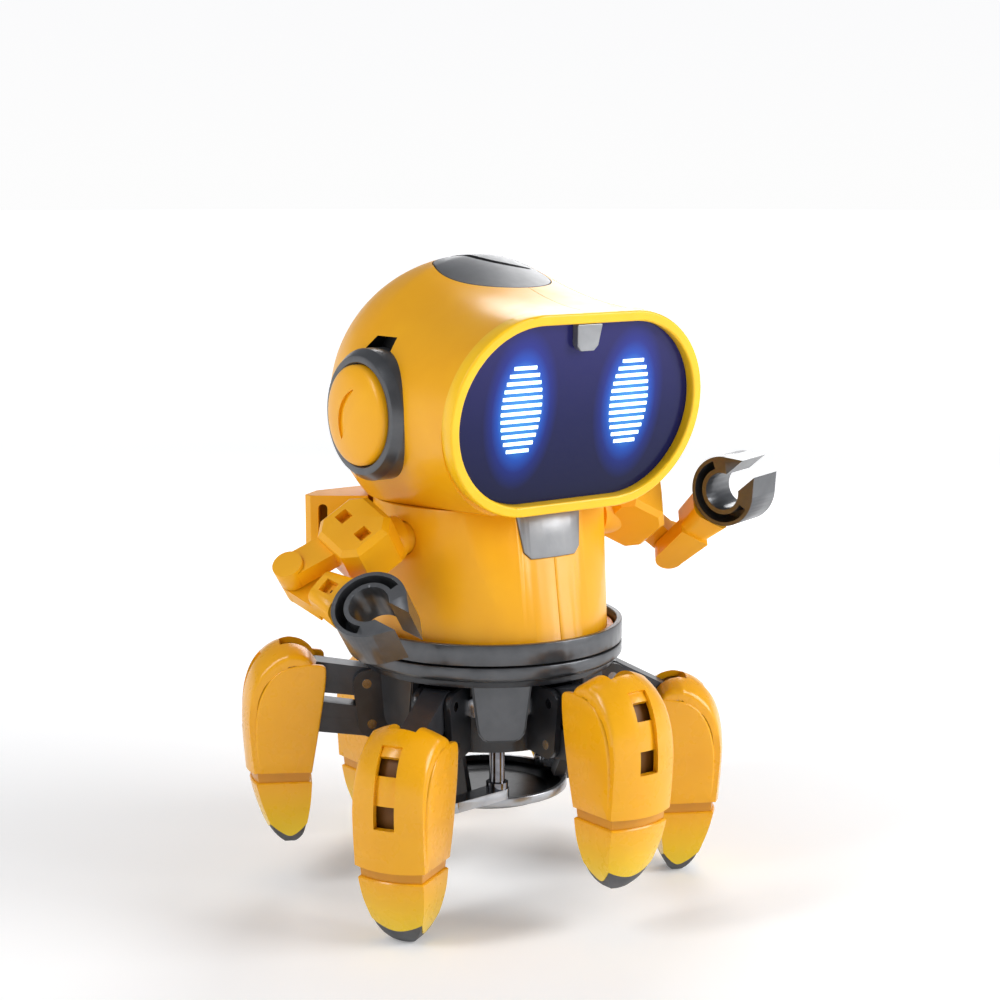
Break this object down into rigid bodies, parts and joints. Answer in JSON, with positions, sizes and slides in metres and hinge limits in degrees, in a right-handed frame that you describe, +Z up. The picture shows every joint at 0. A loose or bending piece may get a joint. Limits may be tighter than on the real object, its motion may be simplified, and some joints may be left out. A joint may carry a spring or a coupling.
{
  "type": "six-legged walking robot kit",
  "caption": "Walking robot kit with a domed head, glowing bar eyes, gripper arms, a swivelling waist and insect-like legs on parallel links.",
  "frame": {"origin": "on the floor, where the swivel axis of the body meets it", "axes": "+Z up along the swivel axis, -Y the way the face looks, +X to the robot's left"},
  "size_m": [0.1622, 0.1538, 0.1995],
  "materials": {
    "shell_yellow": "glossy orange-yellow ABS",
    "trim_gray": "metallic gray plastic",
    "frame_dark": "dark gray glossy plastic",
    "steel": "polished steel",
    "arm_silver": "silver plated",
    "toe_rubber": "gray rubber",
    "screen_glass": "dark navy acrylic window",
    "eye_light": "lit pale blue bars",
    "sensor_gray": "gray plastic",
    "cell_wrap": "plain wrapped cell",
    "black_plastic": "matte black plastic",
    "board_green": "circuit board",
    "gear_white": "white nylon"
  },
  "bodies": {
    "base": {"base_collar": "trim_gray", "hub_frame": "frame_dark", "hub_struts": "frame_dark", "hub_pins": "steel", "lower_dish": "frame_dark", "dish_arms": "arm_silver", "guide_posts": "steel", "motor_plate": "black_plastic", "gait_motor": "steel", "gear_axle": "steel"},
    "torso": {"turntable_ring": "trim_gray", "torso_shell_right": "shell_yellow", "torso_shell_left": "shell_yellow", "chin_plate": "trim_gray", "back_yoke": "shell_yellow", "battery_tray": "black_plastic", "battery_cells": "cell_wrap", "control_board": "board_green", "head_shell_right": "shell_yellow", "head_shell_left": "shell_yellow", "face_bezel": "shell_yellow", "face_screen": "screen_glass", "eye_bars": "eye_light", "nose_sensor": "sensor_gray", "ear_rings": "trim_gray", "ear_domes": "shell_yellow"},
    "button": {"top_button": "trim_gray"},
    "switch": {"power_switch": "black_plastic"},
    "crank": {"crank_gear": "gear_white"},
    "pinion": {"motor_pinion": "gear_white"},
    "upper_link_a": {"upper_link_a": "frame_dark"},
    "lower_link_a": {"lower_link_a": "frame_dark"},
    "leg_a": {"leg_shell_a": "shell_yellow", "toe_a": "toe_rubber"},
    "upper_link_b": {"upper_link_b": "frame_dark"},
    "lower_link_b": {"lower_link_b": "frame_dark"},
    "leg_b": {"leg_shell_b": "shell_yellow", "toe_b": "toe_rubber"},
    "upper_link_c": {"upper_link_c": "frame_dark"},
    "lower_link_c": {"lower_link_c": "frame_dark"},
    "leg_c": {"leg_shell_c": "shell_yellow", "toe_c": "toe_rubber"},
    "upper_link_d": {"upper_link_d": "frame_dark"},
    "lower_link_d": {"lower_link_d": "frame_dark"},
    "leg_d": {"leg_shell_d": "shell_yellow", "toe_d": "toe_rubber"},
    "upper_link_e": {"upper_link_e": "frame_dark"},
    "lower_link_e": {"lower_link_e": "frame_dark"},
    "leg_e": {"leg_shell_e": "shell_yellow", "toe_e": "toe_rubber"},
    "upper_link_f": {"upper_link_f": "frame_dark"},
    "lower_link_f": {"lower_link_f": "frame_dark"},
    "leg_f": {"leg_shell_f": "shell_yellow", "toe_f": "toe_rubber"},
    "arm_right": {"shoulder_block_right": "shell_yellow"},
    "forearm_right": {"forearm_right": "shell_yellow"},
    "hand_right": {"hand_right": "trim_gray"},
    "arm_left": {"shoulder_block_left": "shell_yellow"},
    "forearm_left": {"forearm_left": "shell_yellow"},
    "hand_left": {"hand_left": "trim_gray"}
  },
  "joints": [
    {"name": "body_turn", "type": "hinge", "parent": "base", "child": "torso", "pos_m": [0, 0, 0.0786], "axis": [0, 0, 1], "continuous": true},
    {"name": "button_press", "type": "slide", "parent": "torso", "child": "button", "axis": [0, 0, -1], "range_m": [0, 0.0015], "stiffness_N_per_m": 500, "springref_m": -0.0006},
    {"name": "switch_slide", "type": "slide", "parent": "torso", "child": "switch", "axis": [1, 0, 0], "range_m": [0, 0.003]},
    {"name": "crank_spin", "type": "hinge", "parent": "base", "child": "crank", "pos_m": [0, 0, 0.063], "axis": [0, 0, 1], "continuous": true},
    {"name": "pinion_spin", "type": "hinge", "parent": "base", "child": "pinion", "pos_m": [-0.0184, 0, 0.063], "axis": [0, 0, 1], "continuous": true},
    {"name": "gait", "type": "hinge", "parent": "base", "child": "upper_link_a", "pos_m": [-0.03377, 0.0195, 0.066], "axis": [0.5, 0.866, 0], "range_deg": [-36, 0]},
    {"name": "lower_a", "type": "hinge", "parent": "base", "child": "lower_link_a", "pos_m": [-0.03248, 0.01875, 0.053], "axis": [0.5, 0.866, 0], "range_deg": [-36, 0]},
    {"name": "ankle_a", "type": "hinge", "parent": "upper_link_a", "child": "leg_a", "pos_m": [-0.05436, 0.03138, 0.06934], "axis": [0.5, 0.866, 0], "range_deg": [0, 36]},
    {"name": "lift_b", "type": "hinge", "parent": "base", "child": "upper_link_b", "pos_m": [-0.03377, -0.0195, 0.066], "axis": [-0.5, 0.866, 0], "range_deg": [0, 36]},
    {"name": "lower_b", "type": "hinge", "parent": "base", "child": "lower_link_b", "pos_m": [-0.03248, -0.01875, 0.053], "axis": [-0.5, 0.866, 0], "range_deg": [0, 36]},
    {"name": "ankle_b", "type": "hinge", "parent": "upper_link_b", "child": "leg_b", "pos_m": [-0.05213, -0.0301, 0.05473], "axis": [-0.5, 0.866, 0], "range_deg": [-36, 0]},
    {"name": "lift_c", "type": "hinge", "parent": "base", "child": "upper_link_c", "pos_m": [0, -0.039, 0.066], "axis": [-1, 0, 0], "range_deg": [-36, 0]},
    {"name": "lower_c", "type": "hinge", "parent": "base", "child": "lower_link_c", "pos_m": [0, -0.0375, 0.053], "axis": [-1, 0, 0], "range_deg": [-36, 0]},
    {"name": "ankle_c", "type": "hinge", "parent": "upper_link_c", "child": "leg_c", "pos_m": [0, -0.06277, 0.06934], "axis": [-1, 0, 0], "range_deg": [0, 36]},
    {"name": "lift_d", "type": "hinge", "parent": "base", "child": "upper_link_d", "pos_m": [0.03377, -0.0195, 0.066], "axis": [-0.5, -0.866, 0], "range_deg": [0, 36]},
    {"name": "lower_d", "type": "hinge", "parent": "base", "child": "lower_link_d", "pos_m": [0.03248, -0.01875, 0.053], "axis": [-0.5, -0.866, 0], "range_deg": [0, 36]},
    {"name": "ankle_d", "type": "hinge", "parent": "upper_link_d", "child": "leg_d", "pos_m": [0.05213, -0.0301, 0.05473], "axis": [-0.5, -0.866, 0], "range_deg": [-36, 0]},
    {"name": "lift_e", "type": "hinge", "parent": "base", "child": "upper_link_e", "pos_m": [0.03377, 0.0195, 0.066], "axis": [0.5, -0.866, 0], "range_deg": [-36, 0]},
    {"name": "lower_e", "type": "hinge", "parent": "base", "child": "lower_link_e", "pos_m": [0.03248, 0.01875, 0.053], "axis": [0.5, -0.866, 0], "range_deg": [-36, 0]},
    {"name": "ankle_e", "type": "hinge", "parent": "upper_link_e", "child": "leg_e", "pos_m": [0.05436, 0.03138, 0.06934], "axis": [0.5, -0.866, 0], "range_deg": [0, 36]},
    {"name": "lift_f", "type": "hinge", "parent": "base", "child": "upper_link_f", "pos_m": [0, 0.039, 0.066], "axis": [1, 0, 0], "range_deg": [0, 36]},
    {"name": "lower_f", "type": "hinge", "parent": "base", "child": "lower_link_f", "pos_m": [0, 0.0375, 0.053], "axis": [1, 0, 0], "range_deg": [0, 36]},
    {"name": "ankle_f", "type": "hinge", "parent": "upper_link_f", "child": "leg_f", "pos_m": [0, 0.06019, 0.05473], "axis": [1, 0, 0], "range_deg": [-36, 0]},
    {"name": "shoulder_right", "type": "hinge", "parent": "torso", "child": "arm_right", "pos_m": [-0.04, -0.005, 0.115], "axis": [-1, 0, 0], "range_deg": [-25, 70]},
    {"name": "elbow_right", "type": "hinge", "parent": "arm_right", "child": "forearm_right", "pos_m": [-0.06981, 0.00231, 0.10628], "axis": [-0.586, -0.3656, 0.7232], "range_deg": [-60, 5]},
    {"name": "wrist_right", "type": "hinge", "parent": "forearm_right", "child": "hand_right", "pos_m": [-0.06451, -0.01629, 0.10117], "axis": [0.2648, -0.9298, -0.2555], "range_deg": [-90, 90]},
    {"name": "shoulder_left", "type": "hinge", "parent": "torso", "child": "arm_left", "pos_m": [0.04, -0.005, 0.115], "axis": [-1, 0, 0], "range_deg": [-90, 5]},
    {"name": "elbow_left", "type": "hinge", "parent": "arm_left", "child": "forearm_left", "pos_m": [0.06949, -0.00662, 0.10213], "axis": [0.4724, 0.6332, 0.6131], "range_deg": [-18, 50]},
    {"name": "wrist_left", "type": "hinge", "parent": "forearm_left", "child": "hand_left", "pos_m": [0.07305, -0.02162, 0.11487], "axis": [0.1784, -0.7499, 0.637], "range_deg": [-90, 90]}
  ],
  "couplings": [
    {"joint": "pinion_spin", "follows": "crank_spin", "ratio": -3.6},
    {"joint": "lower_a", "follows": "gait", "ratio": 1},
    {"joint": "ankle_a", "follows": "gait", "ratio": -1},
    {"joint": "lift_b", "follows": "gait", "ratio": -1},
    {"joint": "lower_b", "follows": "gait", "ratio": -1},
    {"joint": "ankle_b", "follows": "gait", "ratio": 1},
    {"joint": "lift_c", "follows": "gait", "ratio": 1},
    {"joint": "lower_c", "follows": "gait", "ratio": 1},
    {"joint": "ankle_c", "follows": "gait", "ratio": -1},
    {"joint": "lift_d", "follows": "gait", "ratio": -1},
    {"joint": "lower_d", "follows": "gait", "ratio": -1},
    {"joint": "ankle_d", "follows": "gait", "ratio": 1},
    {"joint": "lift_e", "follows": "gait", "ratio": 1},
    {"joint": "lower_e", "follows": "gait", "ratio": 1},
    {"joint": "ankle_e", "follows": "gait", "ratio": -1},
    {"joint": "lift_f", "follows": "gait", "ratio": -1},
    {"joint": "lower_f", "follows": "gait", "ratio": -1},
    {"joint": "ankle_f", "follows": "gait", "ratio": 1}
  ]
}
